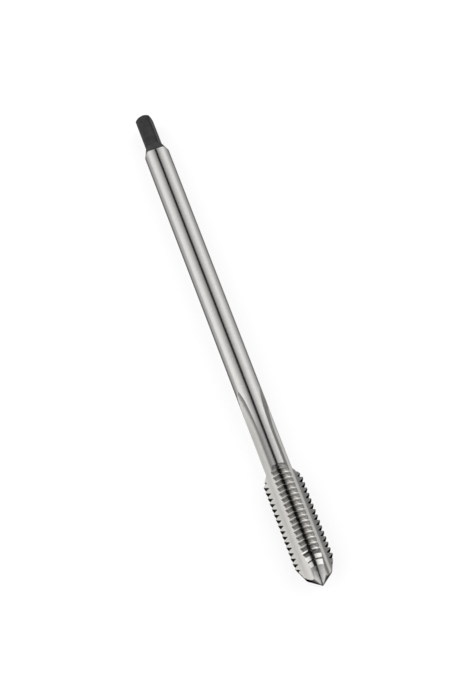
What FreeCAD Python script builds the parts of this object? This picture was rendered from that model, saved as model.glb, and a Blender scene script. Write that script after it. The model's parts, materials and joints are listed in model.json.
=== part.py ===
import FreeCAD, Part
import math
import os

# A long-shank tap for an M4 x 0.7 right-hand thread, ground from one bar of steel.
# It is modelled along its own axis, with the drive end at z = 0 and the point at the top,
# and then laid down as it comes to rest: the point towards +X and one flute underneath.
# Lengths are in millimetres and angles in degrees. An angle round the axis is counted
# from the upper side of the resting tap, clockwise as seen from the point.

# Thread
thread_diameter = 4.0
thread_pitch = 0.7
flank_angle = 60.0
crest_flat = 0.09
root_flat = 0.05
crest_phase = 0.96

# Threaded head
back_bevel_length = 1.16
full_thread_length = 10.35
lead_chamfer_length = 1.61
lead_chamfer_angle = 20.0
point_angle = 84.0

# Shank
shank_diameter = 2.7
shank_length = 44.96
shoulder_length = 1.07

# Square drive
drive_length = 4.4
drive_diameter = 1.96
across_flats = 1.57
flat_turn = -17.0
end_chamfer_width = 0.16
end_chamfer_length = 0.2

# Flutes
flute_count = 3
land_angle = 56.5
rake_angle = 12.0
flute_radius = 0.85
core_diameter = 1.5
flute_on_shank = 4.4
wheel_radius = 32.0

# How far a cutting shape reaches past the surface that it cuts
clearance = 0.5

# Radii, and stations along the axis from the drive end
thread_radius = thread_diameter / 2
shank_radius = shank_diameter / 2
drive_radius = drive_diameter / 2
core_radius = core_diameter / 2
lead_end_radius = thread_radius - lead_chamfer_length * math.tan(math.radians(lead_chamfer_angle))
shoulder_end = drive_length + shoulder_length
head_start = shoulder_end + shank_length
bevel_end = head_start + back_bevel_length
lead_start = bevel_end + full_thread_length
lead_end = lead_start + lead_chamfer_length
tip = lead_end + lead_end_radius / math.tan(math.radians(point_angle / 2))
flute_pitch_angle = 360 / flute_count

origin = FreeCAD.Vector(0, 0, 0)
axis = FreeCAD.Vector(0, 0, 1)


def polar(radius, angle):
    """Point of a cross-section at a radius and an angle round the axis."""
    turn = math.radians(angle)
    return FreeCAD.Vector(radius * math.sin(turn), radius * math.cos(turn), 0)


def turned(vector, angle):
    """A cross-section vector turned anticlockwise as seen from the point."""
    return FreeCAD.Rotation(axis, angle).multVec(vector)


def turned_blank():
    """Drive stub, shoulder, shank, head, lead chamfer and point, turned in one piece."""
    outline = [
        FreeCAD.Vector(0, 0, 0),
        FreeCAD.Vector(drive_radius - end_chamfer_width, 0, 0),
        FreeCAD.Vector(drive_radius, 0, end_chamfer_length),
        FreeCAD.Vector(drive_radius, 0, drive_length),
        FreeCAD.Vector(shank_radius, 0, shoulder_end),
        FreeCAD.Vector(shank_radius, 0, head_start),
        FreeCAD.Vector(thread_radius, 0, bevel_end),
        FreeCAD.Vector(thread_radius, 0, lead_start),
        FreeCAD.Vector(lead_end_radius, 0, lead_end),
        FreeCAD.Vector(0, 0, tip),
    ]
    profile = Part.Face(Part.makePolygon(outline + outline[:1]))
    return profile.revolve(origin, axis, 360)


def square_cutter():
    """Everything outside the square over the length of the drive end."""
    length = drive_length + clearance
    half_flat = across_flats / 2
    sleeve = Part.makeCylinder(drive_radius + clearance, length)
    square = Part.makeBox(across_flats, across_flats, length, FreeCAD.Vector(-half_flat, -half_flat, 0))
    cutter = sleeve.cut(square)
    cutter.translate(FreeCAD.Vector(0, 0, -clearance))
    cutter.rotate(origin, axis, -flat_turn)
    return cutter


def thread_groove():
    """Right-hand helical vee groove, run out past both ends of the head."""
    slope = math.tan(math.radians(flank_angle / 2))
    depth = (thread_pitch - crest_flat - root_flat) / 2 / slope
    root_radius = thread_radius - depth
    mouth_radius = thread_radius + clearance / 2
    root_half = root_flat / 2
    mouth_half = root_half + (mouth_radius - root_radius) * slope
    start = head_start - (2 - crest_phase) * thread_pitch
    section = Part.makePolygon([
        FreeCAD.Vector(root_radius, 0, -root_half),
        FreeCAD.Vector(mouth_radius, 0, -mouth_half),
        FreeCAD.Vector(mouth_radius, 0, mouth_half),
        FreeCAD.Vector(root_radius, 0, root_half),
        FreeCAD.Vector(root_radius, 0, -root_half),
    ])
    helix = Part.makeLongHelix(thread_pitch, lead_end - start, root_radius, 0)
    groove = helix.makePipeShell([section], True, True)
    groove.rotate(origin, axis, 90)
    groove.translate(FreeCAD.Vector(0, 0, start))
    return groove


def flute_centre(cutting_edge, rake_line, flute_side):
    """Centre of the round bottom, which touches the rake face and the core."""
    reach = core_radius + flute_radius
    start = cutting_edge + flute_side * flute_radius
    foot = start - rake_line * start.dot(rake_line)
    return foot - rake_line * math.sqrt(reach ** 2 - foot.Length ** 2)


def flute_section():
    """Flute outline across the axis, with the direction in which it is deepest."""
    cutting_angle = -land_angle / 2
    heel_angle = land_angle / 2 - flute_pitch_angle
    cutting_edge = polar(thread_radius, cutting_angle)
    heel_edge = polar(thread_radius, heel_angle)
    rake_line = turned(polar(-1, cutting_angle), rake_angle)
    flute_side = turned(rake_line, -90)
    centre = flute_centre(cutting_edge, rake_line, flute_side)
    deepest = FreeCAD.Vector(centre).normalize()

    # The straight heel face leaves the round bottom at a tangent.
    heel_arm = heel_edge - centre
    heel_swing = math.degrees(math.acos(flute_radius / heel_arm.Length))
    heel_foot = centre + turned(heel_arm.normalize(), heel_swing) * flute_radius
    heel_line = (heel_edge - heel_foot).normalize()

    rake_foot = centre - flute_side * flute_radius
    bottom = centre - deepest * flute_radius
    rake_end = cutting_edge - rake_line * clearance
    heel_end = heel_edge + heel_line * clearance
    crown = deepest * (thread_radius + 2 * clearance)
    edges = [
        Part.LineSegment(rake_end, rake_foot).toShape(),
        Part.Arc(rake_foot, bottom, heel_foot).toShape(),
        Part.LineSegment(heel_foot, heel_end).toShape(),
        Part.LineSegment(heel_end, crown).toShape(),
        Part.LineSegment(crown, rake_end).toShape(),
    ]
    return Part.Face(Part.Wire(edges)), deepest


def flute_cutter():
    """Straight flute from the point to the shank, then the arc that the wheel leaves."""
    face, deepest = flute_section()
    run_out_station = head_start - flute_on_shank
    face.translate(FreeCAD.Vector(0, 0, run_out_station))
    straight = face.extrude(FreeCAD.Vector(0, 0, tip + clearance - run_out_station))
    wheel_centre = deepest * (core_radius + wheel_radius) + FreeCAD.Vector(0, 0, run_out_station)
    wheel_axis = turned(deepest, 90)
    rise = shank_radius - core_radius + clearance
    sweep = math.degrees(math.acos(1 - rise / wheel_radius))
    run_out = face.revolve(wheel_centre, wheel_axis, -sweep)
    return straight.fuse(run_out)


def laid_down(shape):
    """The tap lying on the edges of two lands and the back of its shank."""
    head_height = thread_radius * math.cos(math.radians((flute_pitch_angle - land_angle) / 2))
    tilt = math.degrees(math.asin((head_height - shank_radius) / (bevel_end - shoulder_end)))
    shape.rotate(origin, FreeCAD.Vector(1, 1, 1), 120)
    shape.rotate(origin, FreeCAD.Vector(0, 1, 0), -tilt)
    box = shape.optimalBoundingBox(False)
    shape.translate(FreeCAD.Vector(-box.Center.x, -box.Center.y, -box.ZMin))
    return shape


def thread_tap():
    """The whole tap: the turned blank with its square, flutes and thread cut in turn."""
    tap = turned_blank().cut(square_cutter())
    flute = flute_cutter()
    for index in range(flute_count):
        turned_flute = flute.copy()
        turned_flute.rotate(origin, axis, index * flute_pitch_angle)
        tap = tap.cut(turned_flute)
    return laid_down(tap.cut(thread_groove()))


tap = thread_tap()
os.makedirs("parts", exist_ok=True)
tap.exportStep("parts/thread_tap.step")
print("solids", len(tap.Solids), "valid", tap.isValid(), "volume", round(tap.Volume, 3))
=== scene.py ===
import json
import math

import bpy
from bpy.props import FloatProperty, FloatVectorProperty, PointerProperty
from mathutils import Matrix, Vector


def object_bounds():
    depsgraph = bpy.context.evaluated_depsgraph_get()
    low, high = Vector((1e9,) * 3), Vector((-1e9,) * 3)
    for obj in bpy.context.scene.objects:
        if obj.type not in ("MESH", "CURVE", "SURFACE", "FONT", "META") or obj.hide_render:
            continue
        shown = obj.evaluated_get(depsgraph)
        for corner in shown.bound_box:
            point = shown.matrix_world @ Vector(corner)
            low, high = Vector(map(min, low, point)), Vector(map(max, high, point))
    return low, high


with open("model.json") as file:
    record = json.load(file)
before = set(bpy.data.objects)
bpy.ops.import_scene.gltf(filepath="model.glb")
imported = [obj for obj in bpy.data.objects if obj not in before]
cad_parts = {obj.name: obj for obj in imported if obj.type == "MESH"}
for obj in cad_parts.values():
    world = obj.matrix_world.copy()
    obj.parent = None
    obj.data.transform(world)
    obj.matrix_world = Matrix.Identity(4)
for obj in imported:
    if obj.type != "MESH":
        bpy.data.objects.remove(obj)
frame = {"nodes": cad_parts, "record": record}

bl_info = {
    "name": "Thread Tap",
    "version": (1, 0, 0),
    "blender": (4, 5, 0),
    "location": "View3D > Sidebar > Tap",
    "description": "Finishes a ground steel thread tap and sets it on a pale table",
    "category": "Object",
}

TAP = "thread_tap"
# Millimetres in a metre
MM = 1000.0

# Colour inputs of the finish, each with the setting that fills it. All but Steel, Flutes and Black
# are painted shade or a painted highlight.
FINISH_COLORS = (
    ("Steel", "steel_color"),
    ("Flutes", "flute_color"),
    ("Flute Bottoms", "bottom_shade_color"),
    ("Rake Faces", "rake_shade_color"),
    ("Crest Highlight", "crest_highlight_color"),
    ("Grooves", "groove_shade_color"),
    ("Painted Dark Shade", "dark_shade_color"),
    ("Black", "black_color"),
)

# Masks of the finish. Each rises from 0 at its first value to 1 at its second, and falls where the
# first is the larger. By the place along the axis, in millimetres from the end of the square:
PAST_THE_SQUARE = (20.0, 21.0)
# Between these lies a band of painted shade on the shank beside the flutes:
SHANK_SHADE_BEGINS = (43.4, 46.6)
SHANK_SHADE_ENDS = (52.0, 51.0)
HEAD_BEGINS = (49.0, 52.0)
THREAD_BEGINS = (50.9, 51.3)
THREAD_ENDS = (63.6, 63.5)
ROOTS_END = (63.0, 62.4)
CONE_BEGINS = (63.45, 63.6)
# Where the painted shade of the flute bottoms narrows:
BOTTOMS_NARROW = (60.5, 62.0)
# By the distance from the axis, in millimetres:
SUNK = (1.325, 1.315)
ROOT = (1.60, 1.54)
CREST = (1.89, 1.95)
TOOTH = (1.27, 1.37)
# By the share of the normal along the axis, clockwise round it or across the table:
STEEP = (0.60, 0.72)
CONE_FACE = (0.55, 0.62)
OFF_THE_CONE = (0.62, 0.55)
SIDEWAYS = (0.12, 0.18)
# The next three place painted shade on the rake faces, the tooth faces and the flute bottoms:
RAKE_FACE = (-0.95, -0.86)
TOOTH_FACE = (-0.86, -0.92)
FLUTE_BOTTOM = (0.75, -0.15)
# Painted shade on the side flats of the black end that face +Y:
SIDE_FLAT = (0.25, 0.6)
# By how far the place faces up as seen from the axis:
# Painted shade falls in the grooves of the lower lands, and on the sides of the point that face away
# from up:
LOWER_LANDS = (0.60, 0.20)
SHADED_CONE_SIDES = (0.72, 0.35)
# By the distance from the axis towards +Y, or inside the edge of the black, in millimetres:
# The flutes get painted shade and light by the half they lie in:
FAR_HALF = (-0.3, 0.3)
BLACK_EDGE = (-0.03, 0.03)

# Painted shade and painted light on the upper land and the shank. Each is 1 at its first value and
# has its tone, the third, from the second on. By the distance from the axis towards +Y, in
# millimetres:
HEEL_MARGIN = (0.66, 0.74, 0.58)
LEAD_MARGIN = (-0.60, -0.80, 0.74)
PAINTED_LIGHT_FLANKS = (0.20, 0.60, 1.3)
# Painted shade in the band on the shank:
SHANK_SHADE_NEAR = (-0.20, -0.50, 0.5)
SHANK_SHADE_FAR = (0.15, 0.45, 0.88)
SHANK_SHADE_EDGE = (0.55, 0.75, 0.72)
# By the distance from the axis, in millimetres:
UNDER_CRESTS = (1.72, 1.88, 0.62)

# Other painted shade and light. A pair is for the bottom and the edge of a flute, or for the flutes
# on the side of -Y and of +Y.
# Painted shade on the last grooves before the point, in place of the painted light on the flanks:
LAST_GROOVE = (61.6, 61.9)
LAST_GROOVE_SHADE = 0.8
FLUTE_DEPTH = (0.9, 1.6)
FLUTE_DEPTH_TONES = (0.92, 1.12)
RUN_OUT_TONES = (0.95, 0.87)
HEAD_FLUTE_TONES = (1.07, 0.88)
BOTTOM_NARROWING = 0.6
CONE_SHADE_SHARE = 0.88
SIDE_FLAT_SHADE = 0.35

# Marks of the finish: how closely they lie, by the millimetre, and how strong they are
RING_DENSITY = 26.0
STREAK_DENSITY = 16.0
STREAK_DENSITY_ALONG = 0.35
CLOUD_DENSITY = 1.6
MARK_DETAIL = 3.0
CLOUD_SHARE = 0.10
GRAIN_SHARE = 0.16
BLACK_CLOUD_SHARE = 0.9
ROUGHNESS_GRAIN = 0.12
MARK_STRENGTH = 0.25
MARK_HEIGHT = 0.000004

# Gloss of the steel, the flutes, the thread, the black finish and the table
STEEL_ROUGHNESS = 0.15
FLUTE_ROUGHNESS = 0.55
THREAD_ROUGHNESS = 0.10
BLACK_ROUGHNESS = 0.6
FLUTE_METAL = 0.15
SURFACE_IOR = 1.25
SURFACE_TINT = (0.2, 0.2, 0.2, 1.0)
TABLE_ROUGHNESS = 0.9

# Light that comes from the side of the drive end, by the angle from straight above in degrees
WALL_LEVELS = [
    (0.0, 0.30),
    (8.0, 0.42),
    (17.0, 0.65),
    (26.0, 0.85),
    (44.0, 1.30),
    (65.0, 1.60),
    (90.0, 1.50),
    (180.0, 1.0),
]
# Light from above and from the side of the point, by the direction's share along Y
FRONT_LEVELS = [
    (0.0, 0.45),
    (0.15, 0.62),
    (0.35, 1.08),
    (0.63, 1.65),
    (1.0, 1.7),
]
# Width and shift along Y of the dark strip overhead, by the direction's share along X
STRIP_WIDTHS = [
    (-1.0, 0.105),
    (-0.62, 0.115),
    (-0.60, 0.135),
    (-0.592, 0.145),
    (-0.52, 0.165),
    (-0.47, 0.205),
    (-0.25, 0.205),
    (-0.10, 0.23),
    (0.35, 0.23),
    (0.85, 0.07),
    (1.0, 0.07),
]
STRIP_SHIFTS = [
    (-1.0, 0.0),
    (-0.665, 0.0),
    (-0.64, 0.045),
    (-0.60, 0.08),
    (-0.594, 0.01),
    (-0.50, 0.03),
    (-0.30, 0.03),
    (-0.10, 0.0),
    (0.35, 0.0),
    (0.60, 0.04),
    (1.0, 0.04),
]
STRIP_SOFTNESS = 0.03
STRIP_COLOR = (0.01, 0.01, 0.01, 1.0)
# Gain of the light by the direction's share along X
GAINS = [
    (-1.0, 1.0),
    (-0.60, 1.0),
    (-0.57, 1.5),
    (-0.50, 1.6),
    (-0.22, 1.6),
    (-0.12, 1.25),
    (0.14, 1.25),
    (0.22, 1.8),
    (0.42, 1.8),
    (0.52, 0.72),
    (0.76, 0.70),
    (0.92, 0.35),
    (1.0, 0.35),
]

# Where the light of the front takes over, by the direction's share along X
FRONT_BEGINS = (-0.45, -0.20)
# Shade low on the wall on the side of +Y, by the direction's share along Y
LOW_WALL = (0.70, 0.78, 0.80)

# Camera: the height of its sensor in millimetres, and the nearest that it sees in metres
SENSOR_HEIGHT = 24.0
CLIP_START = 0.01

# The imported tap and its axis. The drive end is at the low X side and the point at the high X side.
cad_low, cad_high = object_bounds()
shank = next(m for m in frame["record"]["mounts"] if m["name"] == "shank")
tap_axis = -Vector(shank["axis"]).normalized()
shank_middle = Vector(shank["pos_m"])
lateral = Vector((0.0, 1.0, 0.0))
upward = tap_axis.cross(lateral)


def axis_point(distance):
    """Point on the tap's axis at a distance in metres from the end of the drive square."""
    start = shank_middle + tap_axis * ((cad_low.x - shank_middle.x) / tap_axis.x)
    return start + tap_axis * distance


class StageSettings(bpy.types.PropertyGroup):
    """The table, the light and the camera."""

    table_color: FloatVectorProperty(
        name="Table Colour",
        description="Colour of the table that the tap lies on",
        subtype="COLOR",
        size=3,
        min=0.0,
        max=1.0,
        default=(0.98, 0.98, 0.98),
    )
    table_glow: FloatProperty(
        name="Table Glow",
        description="Share of the table's colour that is plain white, free of shadow",
        min=0.0,
        max=1.0,
        default=0.8,
    )
    table_size: FloatProperty(
        name="Table Size",
        description="Length of each side of the table",
        default=4.0,
        unit="LENGTH",
        subtype="DISTANCE",
    )
    focal_length: FloatProperty(
        name="Focal Length",
        description="Lens of the camera in millimetres, for a sensor 24 mm high",
        default=121.5,
    )
    distance: FloatProperty(
        name="Distance",
        description="From the camera to the tap's axis",
        default=0.3603,
        unit="LENGTH",
        subtype="DISTANCE",
    )
    aim: FloatProperty(
        name="Aim",
        description="Point of the axis that the camera looks at, from the end of the square",
        default=0.03395,
        unit="LENGTH",
        subtype="DISTANCE",
    )
    lean: FloatProperty(
        name="Lean",
        description="How far the tap's axis leans out of the picture, with the point nearer",
        default=math.radians(38.7),
        subtype="ANGLE",
    )
    facing: FloatProperty(
        name="Facing",
        description="Turn of the camera round the tap's axis from straight above it",
        default=math.radians(-3.75),
        subtype="ANGLE",
    )
    slant: FloatProperty(
        name="Slant",
        description="Angle of the tap's axis from upright in the picture",
        default=math.radians(21.09),
        subtype="ANGLE",
    )
    side_offset: FloatProperty(
        name="Side Offset",
        description="How far the aimed point lies left of the middle of the picture",
        default=0.000178,
        unit="LENGTH",
        subtype="DISTANCE",
    )


class SteelSettings(bpy.types.PropertyGroup):
    """The finish of the ground steel and of the black drive end, with the colours of its painted
    shade and highlight.
    """

    steel_color: FloatVectorProperty(
        name="Steel",
        description="Colour of the ground and polished steel",
        subtype="COLOR",
        size=3,
        min=0.0,
        max=1.0,
        default=(0.46, 0.455, 0.445),
    )
    flute_color: FloatVectorProperty(
        name="Flutes",
        description="Colour of the matte ground flutes",
        subtype="COLOR",
        size=3,
        min=0.0,
        max=1.0,
        default=(0.51, 0.50, 0.478),
    )
    # Painted shade in the bottoms of the flutes
    bottom_shade_color: FloatVectorProperty(
        name="Flute Bottoms",
        description="Colour of the round bottom of the flutes, next to the cutting edges",
        subtype="COLOR",
        size=3,
        min=0.0,
        max=1.0,
        default=(0.17, 0.168, 0.163),
    )
    # Painted shade on the rake faces
    rake_shade_color: FloatVectorProperty(
        name="Rake Faces",
        description="Colour of the faces behind the cutting edges",
        subtype="COLOR",
        size=3,
        min=0.0,
        max=1.0,
        default=(0.24, 0.238, 0.233),
    )
    # Painted highlight on the crests of the upper land
    crest_highlight_color: FloatVectorProperty(
        name="Crest Highlight",
        description="Colour of the painted highlight on the crests of the thread",
        subtype="COLOR",
        size=3,
        min=0.0,
        max=1.0,
        default=(0.66, 0.65, 0.635),
    )
    # Painted shade in the grooves of the upper land
    groove_shade_color: FloatVectorProperty(
        name="Thread Groove Shade",
        description="Colour of the painted shade in the grooves of the thread",
        subtype="COLOR",
        size=3,
        min=0.0,
        max=1.0,
        default=(0.38, 0.37, 0.355),
    )
    # Painted shade in the grooves of the lower lands and on the sides of the point
    dark_shade_color: FloatVectorProperty(
        name="Painted Dark Shade Grooves",
        description="Colour of the grooves on the two lower lands, darkened by painted shade",
        subtype="COLOR",
        size=3,
        min=0.0,
        max=1.0,
        default=(0.035, 0.035, 0.034),
    )
    black_color: FloatVectorProperty(
        name="Black Finish",
        description="Colour of the black finish on the drive end",
        subtype="COLOR",
        size=3,
        min=0.0,
        max=1.0,
        default=(0.030, 0.030, 0.030),
    )
    black_length: FloatProperty(
        name="Black Length",
        description="Length of the black finish from the end of the square, at its sides",
        default=0.00447,
        unit="LENGTH",
        subtype="DISTANCE",
    )
    black_slope: FloatProperty(
        name="Black Slope",
        description="How far the edge of the black finish rises for each step upward",
        default=0.9,
    )


def new_material(name):
    """An empty node material with its output and one Principled shader."""
    material = bpy.data.materials.new(name)
    material.use_nodes = True
    material.node_tree.nodes.clear()
    output = material.node_tree.nodes.new("ShaderNodeOutputMaterial")
    shader = material.node_tree.nodes.new("ShaderNodeBsdfPrincipled")
    material.node_tree.links.new(shader.outputs["BSDF"], output.inputs["Surface"])
    return material, shader


class Nodes:
    """Short calls that add and link the nodes of one tree."""

    def __init__(self, tree):
        self.tree = tree

    def add(self, kind, **settings):
        """A new node with its settings."""
        node = self.tree.nodes.new(kind)
        for name, value in settings.items():
            setattr(node, name, value)
        return node

    def plug(self, value, socket):
        """Fills one input with a link or a plain value."""
        if isinstance(value, bpy.types.NodeSocket):
            self.tree.links.new(value, socket)
        else:
            socket.default_value = value

    def feed(self, node, *inputs):
        """Fills the inputs of a node in turn, with links or plain values."""
        for socket, value in zip(node.inputs, inputs):
            self.plug(value, socket)
        return node

    def math(self, operation, *inputs):
        return self.feed(self.add("ShaderNodeMath", operation=operation), *inputs).outputs[0]

    def product(self, first, *others):
        """All the values multiplied."""
        for other in others:
            first = self.math("MULTIPLY", first, other)
        return first

    def flip(self, mask):
        """The mask turned round, 1 where it was 0."""
        return self.math("SUBTRACT", 1.0, mask)

    def vary(self, base, noise, share):
        """The base raised and lowered by a share of the noise round its middle."""
        return self.math("MULTIPLY_ADD", self.math("SUBTRACT", noise, 0.5), share, base)

    def vector(self, operation, *inputs):
        node = self.feed(self.add("ShaderNodeVectorMath", operation=operation), *inputs)
        scalar = operation in ("DOT_PRODUCT", "LENGTH")
        return node.outputs["Value" if scalar else "Vector"]

    def scale(self, vector, factor):
        """A vector or a colour times a factor."""
        node = self.add("ShaderNodeVectorMath", operation="SCALE")
        self.plug(vector, node.inputs[0])
        self.plug(factor, node.inputs["Scale"])
        return node.outputs["Vector"]

    def combine(self, x, y, z):
        return self.feed(self.add("ShaderNodeCombineXYZ"), x, y, z).outputs[0]

    def step(self, value, low, high):
        """0 below low, 1 above high and smooth in between; falls where low is the larger."""
        node = self.add("ShaderNodeMapRange", interpolation_type="SMOOTHSTEP")
        falls = low > high
        bounds = (high, low, 1.0, 0.0) if falls else (low, high, 0.0, 1.0)
        return self.feed(node, value, *bounds).outputs[0]

    def blend(self, mask, first, second):
        """The second value or colour where the mask is 1."""
        plain = isinstance(first, float) or getattr(first, "type", "") == "VALUE"
        kind = "Float" if plain else "Color"
        node = self.add("ShaderNodeMix", data_type="FLOAT" if plain else "RGBA")
        sockets = {socket.identifier: socket for socket in node.inputs}
        self.plug(mask, sockets["Factor_Float"])
        self.plug(first, sockets["A_" + kind])
        self.plug(second, sockets["B_" + kind])
        return next(o for o in node.outputs if o.identifier == "Result_" + kind)

    def shade(self, value, low, high, tone):
        """1 below low, the tone above high and smooth in between."""
        return self.blend(self.step(value, low, high), 1.0, tone)

    def noise(self, vector, scale, detail):
        node = self.add("ShaderNodeTexNoise")
        self.plug(vector, node.inputs["Vector"])
        self.plug(scale, node.inputs["Scale"])
        self.plug(detail, node.inputs["Detail"])
        return node.outputs["Fac"]

    def ramp(self, value, stops):
        """A grey ramp with (position, level) stops."""
        node = self.add("ShaderNodeValToRGB")
        self.plug(value, node.inputs["Fac"])
        elements = node.color_ramp.elements
        while len(elements) < len(stops):
            elements.new(0.5)
        for element, (position, level) in zip(elements, stops):
            element.position = position
            element.color = (level, level, level, 1.0)
        return node.outputs["Color"]


def tap_places(kit):
    """Where a shaded point lies on the tap: millimetres along and out, and its normal's parts."""
    coordinates = kit.add("ShaderNodeTexCoord")
    normal = coordinates.outputs["Normal"]
    arm = kit.vector("SUBTRACT", coordinates.outputs["Object"], tuple(axis_point(0.0)))
    along = kit.vector("DOT_PRODUCT", arm, tuple(tap_axis))
    out = kit.vector("SUBTRACT", arm, kit.scale(tuple(tap_axis), along))
    outward = kit.vector("NORMALIZE", out)
    around = kit.vector("CROSS_PRODUCT", outward, tuple(tap_axis))
    return {
        "along": kit.product(along, MM),
        "radius": kit.product(kit.vector("LENGTH", out), MM),
        "height": kit.product(kit.vector("DOT_PRODUCT", out, tuple(upward)), MM),
        "side": kit.product(kit.vector("DOT_PRODUCT", out, tuple(lateral)), MM),
        "facing_up": kit.vector("DOT_PRODUCT", outward, tuple(upward)),
        "axial": kit.vector("DOT_PRODUCT", normal, tuple(tap_axis)),
        "clockwise": kit.vector("DOT_PRODUCT", normal, around),
        "across": kit.vector("DOT_PRODUCT", normal, tuple(lateral)),
    }


def finish_masks(kit, place, given):
    """A mask for each part of the finish, 1 on that part and 0 elsewhere. Some place painted shade
    or a painted highlight.
    """
    along, radius, axial = place["along"], place["radius"], place["axial"]

    # A flute lies below the round surfaces or faces sideways.
    sideways = kit.step(kit.math("ABSOLUTE", place["clockwise"]), *SIDEWAYS)
    cut = kit.math("MAXIMUM", kit.step(radius, *SUNK), sideways)
    flute = kit.product(cut, kit.step(axial, *OFF_THE_CONE), kit.step(along, *PAST_THE_SQUARE))
    plain = kit.flip(flute)
    # The lower lands get painted shade in their grooves and no painted highlight on their crests.
    lower = kit.step(place["facing_up"], *LOWER_LANDS)

    # A groove faces along, or lies at the root of the thread.
    threaded = kit.product(kit.step(along, *THREAD_BEGINS), kit.step(along, *THREAD_ENDS))
    steep = kit.step(kit.math("ABSOLUTE", axial), *STEEP)
    root = kit.product(kit.step(radius, *ROOT), kit.step(along, *ROOTS_END))
    cone = kit.product(kit.step(along, *CONE_BEGINS), kit.step(axial, *CONE_FACE))
    # A band of painted shade on the shank, on the upper land
    shank_shade = kit.product(kit.step(along, *SHANK_SHADE_BEGINS), kit.step(along, *SHANK_SHADE_ENDS))

    # The black ends on a slanted plane.
    edge = kit.math("SUBTRACT", along, kit.product(place["height"], given["Black Slope"]))
    inside = kit.math("SUBTRACT", kit.product(given["Black Length"], MM), edge)
    return {
        "flute": flute,
        "lower": lower,
        "groove": kit.product(kit.math("MAXIMUM", steep, root), threaded, plain),
        # Only the crests of the upper land get the painted highlight
        "crest": kit.product(kit.step(radius, *CREST), threaded, plain, kit.flip(lower)),
        # Painted shade on the sides of the point, away from up
        "cone_shade": kit.product(cone, kit.step(place["facing_up"], *SHADED_CONE_SIDES)),
        "shank_shade": kit.product(shank_shade, kit.flip(lower), plain),
        "black": kit.step(inside, *BLACK_EDGE),
    }


def finish_marks(kit, place, flute):
    """Slow cloudy changes, and the grain: rings on the round parts and streaks in the flutes."""
    along, side, height = place["along"], place["side"], place["height"]
    rings = kit.combine(kit.product(along, RING_DENSITY), side, height)
    streaks = kit.combine(
        kit.product(along, STREAK_DENSITY_ALONG),
        kit.product(side, STREAK_DENSITY),
        kit.product(height, STREAK_DENSITY),
    )
    cloud = kit.noise(kit.combine(along, side, height), CLOUD_DENSITY, MARK_DETAIL)
    ring_grain = kit.noise(rings, 1.0, MARK_DETAIL)
    streak_grain = kit.noise(streaks, 1.0, MARK_DETAIL)
    return cloud, kit.blend(flute, ring_grain, streak_grain)


def land_shade_and_light(kit, place):
    """Painted shade and painted light of the upper land: on its crests, in its grooves and in a band
    on the shank.
    """
    side = place["side"]
    # Painted shade on the crests and grooves near both edges of the land
    crests = kit.product(kit.shade(side, *HEEL_MARGIN), kit.shade(side, *LEAD_MARGIN))
    # Painted shade under the crests, painted light on the flanks towards +Y and painted shade on the
    # last grooves
    last = kit.step(place["along"], *LAST_GROOVE)
    flanks = kit.blend(last, kit.shade(side, *PAINTED_LIGHT_FLANKS), LAST_GROOVE_SHADE)
    grooves = kit.product(kit.shade(place["radius"], *UNDER_CRESTS), flanks, crests)
    # The band of painted shade on the shank
    band = kit.product(
        kit.shade(side, *SHANK_SHADE_NEAR),
        kit.shade(side, *SHANK_SHADE_EDGE),
        kit.shade(side, *SHANK_SHADE_FAR),
    )
    return crests, grooves, band


def flute_color_and_shade(kit, place, given):
    """Flute colour with painted shade in the bottoms and behind the cutting edges, and painted shade
    and light by depth and side.
    """
    along, radius, clockwise = place["along"], place["radius"], place["clockwise"]
    narrow = kit.step(along, *BOTTOMS_NARROW)
    turn = kit.math("MULTIPLY_ADD", narrow, BOTTOM_NARROWING, clockwise)
    # Painted shade on the bottoms and on the faces behind the cutting edges
    bottom = kit.product(kit.step(clockwise, *RAKE_FACE), kit.step(turn, *FLUTE_BOTTOM))
    tooth = kit.product(kit.step(clockwise, *TOOTH_FACE), kit.step(radius, *TOOTH))
    color = kit.blend(bottom, given["Flutes"], given["Flute Bottoms"])
    color = kit.blend(tooth, color, given["Rake Faces"])
    # Painted shade and light by side and by depth
    far = kit.step(place["side"], *FAR_HALF)
    run_out = kit.blend(far, *RUN_OUT_TONES)
    head = kit.blend(far, *HEAD_FLUTE_TONES)
    depth = kit.blend(kit.step(radius, *FLUTE_DEPTH), *FLUTE_DEPTH_TONES)
    length = kit.blend(kit.step(along, *HEAD_BEGINS), run_out, head)
    return kit.scale(color, kit.product(depth, length))


def finish_sockets(tree):
    """Inputs and outputs of the finish."""
    for name, _ in FINISH_COLORS:
        tree.interface.new_socket(name, in_out="INPUT", socket_type="NodeSocketColor")
    for name in ("Black Length", "Black Slope"):
        tree.interface.new_socket(name, in_out="INPUT", socket_type="NodeSocketFloat")
    tree.interface.new_socket("Color", in_out="OUTPUT", socket_type="NodeSocketColor")
    for name in ("Roughness", "Metallic", "Height"):
        tree.interface.new_socket(name, in_out="OUTPUT", socket_type="NodeSocketFloat")


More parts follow.
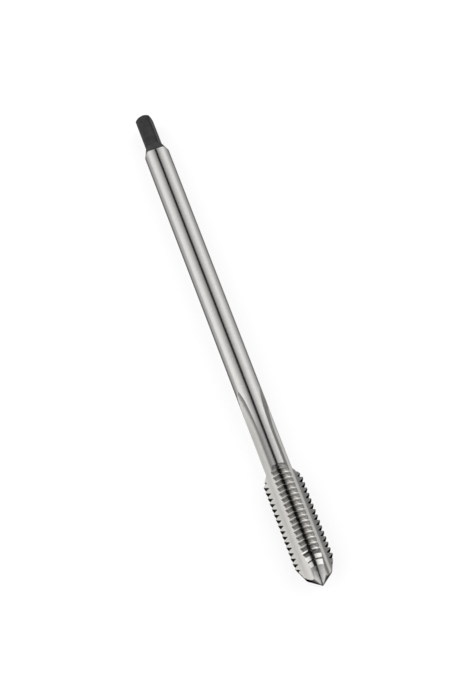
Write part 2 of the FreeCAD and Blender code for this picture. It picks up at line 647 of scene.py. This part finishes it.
def finish_group():
    """Node group with the colour, roughness, metal and marks of each part of the tap; the colour
    holds painted shade and highlights.
    """
    tree = bpy.data.node_groups.new("tap_finish", "ShaderNodeTree")
    finish_sockets(tree)
    kit = Nodes(tree)
    given = kit.add("NodeGroupInput").outputs
    place = tap_places(kit)
    mask = finish_masks(kit, place, given)
    flute, groove, crest, black = (mask[name] for name in ("flute", "groove", "crest", "black"))
    cloud, grain = finish_marks(kit, place, flute)
    crest_shade, groove_shade_and_light, shank_shade_tone = land_shade_and_light(kit, place)

    color = kit.blend(flute, given["Steel"], flute_color_and_shade(kit, place, given))
    tone = kit.vary(kit.vary(1.0, cloud, CLOUD_SHARE), grain, GRAIN_SHARE)
    # Painted shade in the band on the shank
    tone = kit.product(tone, kit.blend(mask["shank_shade"], 1.0, shank_shade_tone))
    color = kit.scale(color, tone)
    # Painted shade and painted light in the grooves of the upper land, and darker painted shade in
    # those of the lower lands
    bright_groove = kit.scale(given["Grooves"], groove_shade_and_light)
    color = kit.blend(groove, color, kit.blend(mask["lower"], bright_groove, given["Painted Dark Shade"]))
    # Painted highlight on the crests of the upper land, with painted shade at its margins
    color = kit.blend(crest, color, kit.scale(given["Crest Highlight"], crest_shade))
    # Painted shade on the sides of the point
    color = kit.blend(kit.product(mask["cone_shade"], CONE_SHADE_SHARE), color, given["Painted Dark Shade"])
    mottle = kit.vary(1.0, cloud, BLACK_CLOUD_SHARE)
    # Painted shade on the side flats that face +Y; the mottle is the black finish's own
    shaded_black = kit.blend(kit.step(place["across"], *SIDE_FLAT), mottle, SIDE_FLAT_SHADE)
    color = kit.blend(black, color, kit.scale(given["Black"], shaded_black))

    rough = kit.blend(flute, STEEL_ROUGHNESS, FLUTE_ROUGHNESS)
    rough = kit.blend(groove, rough, THREAD_ROUGHNESS)
    rough = kit.blend(crest, rough, THREAD_ROUGHNESS)
    rough = kit.blend(black, kit.vary(rough, grain, ROUGHNESS_GRAIN), BLACK_ROUGHNESS)
    metal = kit.product(kit.blend(flute, 1.0, FLUTE_METAL), kit.flip(black))
    kit.feed(kit.add("NodeGroupOutput"), color, rough, metal, kit.blend(black, grain, cloud))
    return tree


class TAP_OT_finish(bpy.types.Operator):
    """Gives the tap its ground steel finish, with painted shade and highlights"""

    bl_idname = "tap.finish"
    bl_label = "Finish the Tap"

    def execute(self, context):
        settings = context.scene.tap_steel
        material, shader = new_material("ground_steel")
        kit = Nodes(material.node_tree)
        group = kit.add("ShaderNodeGroup", node_tree=finish_group())
        for socket, setting in FINISH_COLORS:
            kit.plug((*getattr(settings, setting), 1.0), group.inputs[socket])
        kit.plug(settings.black_length, group.inputs["Black Length"])
        kit.plug(settings.black_slope, group.inputs["Black Slope"])
        bump = kit.add("ShaderNodeBump")
        kit.plug(MARK_STRENGTH, bump.inputs["Strength"])
        kit.plug(MARK_HEIGHT, bump.inputs["Distance"])
        kit.plug(group.outputs["Height"], bump.inputs["Height"])
        kit.plug(group.outputs["Color"], shader.inputs["Base Color"])
        kit.plug(group.outputs["Roughness"], shader.inputs["Roughness"])
        kit.plug(group.outputs["Metallic"], shader.inputs["Metallic"])
        kit.plug(bump.outputs["Normal"], shader.inputs["Normal"])
        shader.inputs["Specular Tint"].default_value = SURFACE_TINT
        shader.inputs["IOR"].default_value = SURFACE_IOR
        tap = frame["nodes"][TAP]
        tap.data.materials.clear()
        tap.data.materials.append(material)
        return {"FINISHED"}


class TAP_OT_stage(bpy.types.Operator):
    """Sets up the table, the light and the camera"""

    bl_idname = "tap.stage"
    bl_label = "Set the Stage"

    def execute(self, context):
        settings = context.scene.tap_stage
        bpy.ops.object.select_all(action="DESELECT")
        bpy.ops.mesh.primitive_plane_add(size=settings.table_size, location=(0, 0, 0))
        table = context.active_object
        table.name = "table"
        material, shader = new_material("table_top")
        shader.inputs["Base Color"].default_value = (*settings.table_color, 1.0)
        shader.inputs["Roughness"].default_value = TABLE_ROUGHNESS
        kit = Nodes(material.node_tree)
        seen = kit.add("ShaderNodeLightPath")
        either = kit.math("MAXIMUM", seen.outputs["Is Camera Ray"], seen.outputs["Is Glossy Ray"])
        either = kit.math("MAXIMUM", either, seen.outputs["Is Transmission Ray"])
        white = kit.add("ShaderNodeEmission")
        mix = kit.add("ShaderNodeMixShader")
        output = material.node_tree.get_output_node("ALL")
        glow = kit.product(either, settings.table_glow)
        kit.feed(mix, glow, shader.outputs[0], white.outputs[0])
        kit.plug(mix.outputs[0], output.inputs["Surface"])
        table.data.materials.append(material)
        light_room(context)
        place_camera(context, settings)
        return {"FINISHED"}


def by_share(stops):
    """Stops of a share that runs from -1 to 1, as places on a ramp from 0 to 1."""
    return [((1.0 + share) / 2.0, level) for share, level in stops]


def light_room(context):
    """A plain studio: soft walls and ceiling, and a dark strip that hangs along the tap."""
    world = bpy.data.worlds.new("room")
    world.use_nodes = True
    context.scene.world = world
    world.node_tree.nodes.clear()
    kit = Nodes(world.node_tree)
    output = kit.add("ShaderNodeOutputWorld")
    background = kit.add("ShaderNodeBackground")
    kit.plug(background.outputs["Background"], output.inputs["Surface"])
    coordinates = kit.add("ShaderNodeTexCoord")
    split = kit.feed(kit.add("ShaderNodeSeparateXYZ"), coordinates.outputs["Generated"]).outputs
    ahead = kit.math("MULTIPLY_ADD", split["X"], 0.5, 0.5)

    walls_side = kit.math("ABSOLUTE", split["Y"])
    swing = kit.math("DIVIDE", kit.math("ARCTAN2", walls_side, split["Z"]), math.pi)
    walls = kit.ramp(swing, [(angle / 180.0, level) for angle, level in WALL_LEVELS])
    walls = kit.scale(walls, kit.shade(split["Y"], *LOW_WALL))

    strip_middle = kit.ramp(ahead, by_share(STRIP_SHIFTS))
    strip_side = kit.math("ABSOLUTE", kit.math("SUBTRACT", split["Y"], strip_middle))
    front = kit.ramp(strip_side, FRONT_LEVELS)
    room = kit.blend(kit.step(split["X"], *FRONT_BEGINS), walls, front)
    room = kit.vector("MULTIPLY", room, kit.ramp(ahead, by_share(GAINS)))

    past = kit.math("SUBTRACT", strip_side, kit.ramp(ahead, by_share(STRIP_WIDTHS)))
    outside = kit.step(past, -STRIP_SOFTNESS, STRIP_SOFTNESS)
    kit.plug(kit.blend(outside, STRIP_COLOR, room), background.inputs["Color"])
    background.inputs["Strength"].default_value = 1.0


def place_camera(context, settings):
    """Camera at the photograph's angle: the axis slants down to the right, with the point nearer."""
    towards = (
        upward * math.cos(settings.facing) + lateral * math.sin(settings.facing)
    ) * math.cos(settings.lean) + tap_axis * math.sin(settings.lean)
    along = (tap_axis - towards * math.sin(settings.lean)) / math.cos(settings.lean)
    across = towards.cross(along)
    right = along * math.sin(settings.slant) + across * math.cos(settings.slant)
    up = across * math.sin(settings.slant) - along * math.cos(settings.slant)
    place = axis_point(settings.aim) + towards * settings.distance + right * settings.side_offset
    data = bpy.data.cameras.new("camera")
    data.sensor_fit = "VERTICAL"
    data.sensor_height = SENSOR_HEIGHT
    data.lens = settings.focal_length
    data.clip_start = CLIP_START
    camera = bpy.data.objects.new("camera", data)
    context.collection.objects.link(camera)
    turn = Matrix((right, up, towards)).transposed()
    camera.matrix_world = Matrix.Translation(place) @ turn.to_4x4()
    context.scene.camera = camera
    context.scene.view_settings.view_transform = "Standard"


class TAP_PT_panel(bpy.types.Panel):
    """Sizes, colours and steps of the thread tap"""

    bl_idname = "TAP_PT_panel"
    bl_label = "Thread Tap"
    bl_space_type = "VIEW_3D"
    bl_region_type = "UI"
    bl_category = "Tap"

    def draw(self, context):
        layout = self.layout
        steel = context.scene.tap_steel
        for name in SteelSettings.__annotations__:
            layout.prop(steel, name)
        layout.operator(TAP_OT_finish.bl_idname)
        stage = context.scene.tap_stage
        for name in StageSettings.__annotations__:
            layout.prop(stage, name)
        layout.operator(TAP_OT_stage.bl_idname)


CLASSES = (StageSettings, SteelSettings, TAP_OT_finish, TAP_OT_stage, TAP_PT_panel)


def register():
    for cls in CLASSES:
        bpy.utils.register_class(cls)
    bpy.types.Scene.tap_stage = PointerProperty(type=StageSettings)
    bpy.types.Scene.tap_steel = PointerProperty(type=SteelSettings)


def unregister():
    del bpy.types.Scene.tap_steel
    del bpy.types.Scene.tap_stage
    for cls in reversed(CLASSES):
        bpy.utils.unregister_class(cls)


def main():
    register()
    bpy.ops.tap.finish()
    bpy.ops.tap.stage()


if __name__ == "__main__":
    main()
